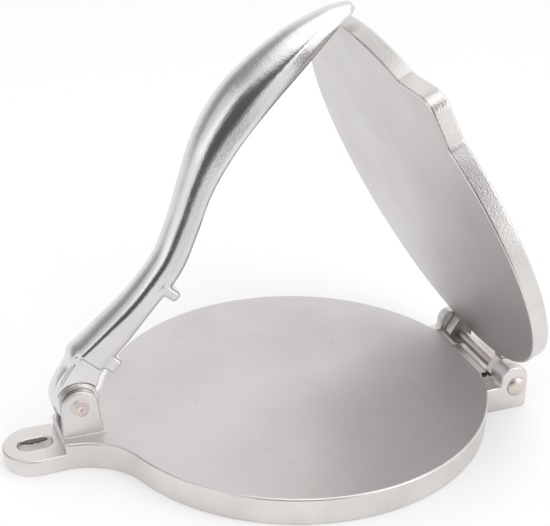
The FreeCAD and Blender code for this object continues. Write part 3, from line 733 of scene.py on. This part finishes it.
# The arm's back runs on over the knuckle as a narrow strip, down to the ears.
handleHeel = {
    "stations": [
        (12.0, 28.4, 43, 14.0, 5.0, 3.0, 0.2), (6.6, 27.0, 42, 15.8, 5.0, 3.0, 0.2),
        (4.3, 26.0, 54, 15.0, 5.0, 2.4, 0.3), (2.3, 23.6, 61, 13.5, 5.0, 1.0, 0.5),
        (0.3, 17.9, 57, 10.5, 5.0, 0.8, 0.6), (-2.2, 14.4, 56, 9.5, 5.0, 0.8, 0.6),
        (-5.1, 10.2, 61, 9.8, 5.0, 0.8, 0.6), (-7.1, 5.7, 73, 10.4, 5.0, 0.8, 0.6),
        (-7.7, 2.5, 90, 10.8, 5.0, 0.8, 0.6), (-7.1, -0.6, 102, 10.8, 5.0, 0.8, 0.6),
        (-6.2, -2.6, 112, 10.6, 5.0, 0.8, 0.6)],
    "between": 4, "around": 40, "cornering": 0.3, "flare": 0.25,
}
# The handle is drawn as it leans on the plate, and turned back far enough to stand clear of it.
handleSkin = {"turn": -0.35, "voxel": 0.55, "easing": 0.5, "rounds": 3}
# Side views about the pivot: the knuckle turns between the ears, a web of the same width joins it
# to the arm, and a wider shoulder stands over the ears, cut round below so that it clears them.
handleKnuckle = {
    "halfWidth": 6.2, "radius": 10.4, "steps": 72, "bore": 4.85, "boreSteps": 96,
    "web": [(-11.0, 0), (-10.6, 6), (-8.0, 12), (-4.5, 17.2), (-1.2, 22), (3, 27), (8, 29.5),
            (16, 21), (10.9, 13), (9.2, 7), (9, 0)],
    "shoulderHalf": 7.4,
    "shoulder": [(-10.2, 6.2), (-8.0, 12), (-4.5, 17.2), (-1.2, 22), (3, 27), (8, 29.5), (16, 21),
                 (10.9, 13), (9.6, 8.6)] + arcOf(0, 0, 12, 42, 148, 16),
}
# Two stops under the arm push the closed plate down. Each has its reach, rise and thickness.
handleStops = {
    "halfWidth": 8.5, "length": 12, "lean": 42, "edgeRound": 1.4,
    "at": [(20.3, 16.6, 7.6), (51.2, 48.3, 5.4)],
}


def smoothBetween(rows, index, share):
    # a curve through the stations, so the arm swells and narrows without a kink
    last = len(rows) - 1
    before, a, b, after = (rows[max(0, min(last, index + step))] for step in (-1, 0, 1, 2))
    return [0.5 * (2 * q + (r - p) * share + (2 * p - 5 * q + 4 * r - t) * share ** 2
                   + (3 * q - p - 3 * r + t) * share ** 3)
            for p, q, r, t in zip(before, a, b, after)]


def shapeSection(ring, station, a):
    # turns a circle into the arm's section: flat below, upright sides and a crowned back
    reach, rise, lean, width, depth, crown, keen = station
    lean = math.radians(lean)
    up = Vector((-math.sin(lean), 0, math.cos(lean)))
    foot = Vector((reach, 0, rise))
    for vert in ring:
        across, high = vert.co.x, vert.co.y
        if high >= 0:
            bulge = high * (1 - keen) + high ** 2 * keen
            y, z = width / 2 * across, depth - crown + crown * bulge
        else:
            y = width / 2 * math.copysign(abs(across) ** a["cornering"], across)
            z = (depth - crown) * (1 - abs(high) ** a["cornering"])
            y *= 1 + a["flare"] * (1 - z / (depth - crown))
        vert.co = (foot + up * z + Vector((0, y, 0))) * mm


def makeArm(a):
    bm = bmesh.new()
    rows = a["stations"]
    rings = []
    for index in range(len(rows) - 1):
        rings += [smoothBetween(rows, index, step / a["between"]) for step in range(a["between"])]
    rings.append(rows[-1])
    before = None
    for station in rings:
        circle = bmesh.ops.create_circle(bm, segments=a["around"], radius=1)["verts"]
        shapeSection(circle, station, a)
        edges = [edge for edge in bm.edges if edge.verts[0] in circle and edge.verts[1] in circle]
        if before:
            bmesh.ops.bridge_loops(bm, edges=before + edges)
        before = edges
    bmesh.ops.holes_fill(bm, edges=bm.edges)
    bmesh.ops.recalc_face_normals(bm, faces=bm.faces)
    return bm


def addPrism(bm, corners, halfWidth):
    # an outline in the side view, given depth both ways
    verts = [bm.verts.new((x * mm, -halfWidth * mm, z * mm)) for x, z in corners]
    return verts + pushFaces(bm, [bm.faces.new(verts)], (0, 2 * halfWidth * mm, 0))


def addKnuckle(bm, k):
    radius, half = k["radius"], k["halfWidth"]
    addPrism(bm, arcOf(0, 0, radius, 0, 360, k["steps"])[:-1], half)
    addPrism(bm, k["web"], half)
    addPrism(bm, k["shoulder"], k["shoulderHalf"])


def addStops(bm, s):
    lean = math.radians(s["lean"])
    inward = Vector((-math.cos(lean), math.sin(lean)))
    across = Vector((math.sin(lean), math.cos(lean)))
    for reach, rise, thickness in s["at"]:
        foot = Vector((reach, rise))
        corners = [foot - across * thickness / 2, foot + across * thickness / 2,
                   foot + across * thickness / 2 + inward * s["length"],
                   foot - across * thickness / 2 + inward * s["length"]]
        verts = addPrism(bm, [tuple(corner) for corner in corners], s["halfWidth"])
        edges = list({edge for vert in verts for edge in vert.link_edges})
        rollEdges(bm, edges, s["edgeRound"], slide=False, clamp=True)


def makeHandle():
    bm = makeArm(handleArm)
    addShell(bm, makeArm(handleHeel))
    addKnuckle(bm, handleKnuckle)
    addStops(bm, handleStops)
    bmesh.ops.recalc_face_normals(bm, faces=bm.faces)
    bmesh.ops.rotate(bm, verts=bm.verts, cent=(0, 0, 0),
                     matrix=Matrix.Rotation(math.radians(handleSkin["turn"]), 3, "Y"))
    bmesh.ops.translate(bm, verts=bm.verts, vec=pivotAt)
    return bm


def mergeCasting(obj, s):
    # one skin over all the parts of a casting, then eased as tumbling eases it
    remesh = obj.modifiers.new("oneSkin", "REMESH")
    remesh.mode = "VOXEL"
    remesh.voxel_size = s["voxel"] * mm
    ease = obj.modifiers.new("ease", "SMOOTH")
    ease.factor, ease.iterations = s["easing"], s["rounds"]


def boreThrough(obj, centre, radius, halfLength, steps):
    bm = bmesh.new()
    bmesh.ops.create_cone(bm, cap_ends=True, segments=steps, radius1=radius * mm,
                          radius2=radius * mm, depth=2 * halfLength * mm)
    bmesh.ops.rotate(bm, verts=bm.verts, cent=(0, 0, 0),
                     matrix=Matrix.Rotation(math.pi / 2, 3, "X"))
    bmesh.ops.translate(bm, verts=bm.verts, vec=centre)
    mesh = bpy.data.meshes.new("drill")
    bm.to_mesh(mesh)
    bm.free()
    drill = bpy.data.objects.new("drill", mesh)
    bpy.context.scene.collection.objects.link(drill)
    cut = obj.modifiers.new("bore", "BOOLEAN")
    cut.operation, cut.solver, cut.object = "DIFFERENCE", "EXACT", drill
    return drill


def settle(obj, helper):
    # keeps the shape that the modifiers give, and nothing else of them
    graph = bpy.context.evaluated_depsgraph_get()
    made = bpy.data.meshes.new_from_object(obj.evaluated_get(graph))
    obj.modifiers.clear()
    obj.data = made
    made.polygons.foreach_set("use_smooth", [True] * len(made.polygons))
    bpy.data.objects.remove(helper)


handlePiece = addPiece("handleCasting", makeHandle(), (polishFinish,), "lever",
                       "handle")
mergeCasting(handlePiece, handleSkin)
drill = boreThrough(handlePiece, pivotAt, handleKnuckle["bore"], 2 * handleKnuckle["halfWidth"],
                    handleKnuckle["boreSteps"])
settle(handlePiece, drill)
print("handle has", sum(len(face.vertices) - 2 for face in handlePiece.data.polygons), "triangles")

# Each pin is turned from rod: (distance along it, radius), from the near end to the far end.
hingeRod = {
    "steps": 64,
    "profile": [(-41.8, 0), (-41.75, 1.6), (-41.5, 3.2), (-41.0, 4.5), (-40.5, 5.2), (-40.1, 5.5),
                (-40.0, 5.4), (-40.0, 3), (33.4, 3), (33.4, 4.5), (33.7, 4.55), (34.2, 3.4),
                (34.5, 1.8), (34.6, 0)],
}
# both ends are alike: a dimple left by the centre drill, a flat, a ring groove and a rolled edge
rodEnd = [(10.4, 4.8), (10.7, 4.75), (10.75, 4.6), (10.35, 4.4), (10.35, 4.1), (10.8, 3.9),
          (10.9, 3.7), (10.85, 1.8), (10.75, 1.3), (10.25, 0.7), (10.2, 0)]
handleRod = {
    "steps": 64, "profile": [(-along, radius) for along, radius in reversed(rodEnd)] + rodEnd,
}


def makeRod(r, centre):
    bm = bmesh.new()
    verts = [bm.verts.new((radius * mm, along * mm, 0)) for along, radius in r["profile"]]
    for a, b in zip(verts, verts[1:]):
        bm.edges.new((a, b))
    bmesh.ops.spin(bm, geom=bm.verts[:] + bm.edges[:], cent=(0, 0, 0), axis=(0, 1, 0),
                   angle=math.tau, steps=r["steps"], use_merge=True)
    bmesh.ops.remove_doubles(bm, verts=bm.verts, dist=oneWithin)
    bmesh.ops.recalc_face_normals(bm, faces=bm.faces)
    bmesh.ops.translate(bm, verts=bm.verts, vec=centre)
    return bm


hingePiece = addPiece("hingeRod", makeRod(hingeRod, hingeAt), (steelFinish,), "base",
                      "hinge_pin")
pivotPiece = addPiece("handleRod", makeRod(handleRod, pivotAt), (steelFinish,), "base",
                      "handle_pin")


def evenShading(*pieces):
    # flat faces stay flat to the eye, and only the rolled edges catch the light
    for piece in pieces:
        piece.modifiers.new("shading", "WEIGHTED_NORMAL").keep_sharp = True


evenShading(basePiece, platePiece, hingePiece, pivotPiece)

bpy.context.scene.view_settings.view_transform = "Standard"
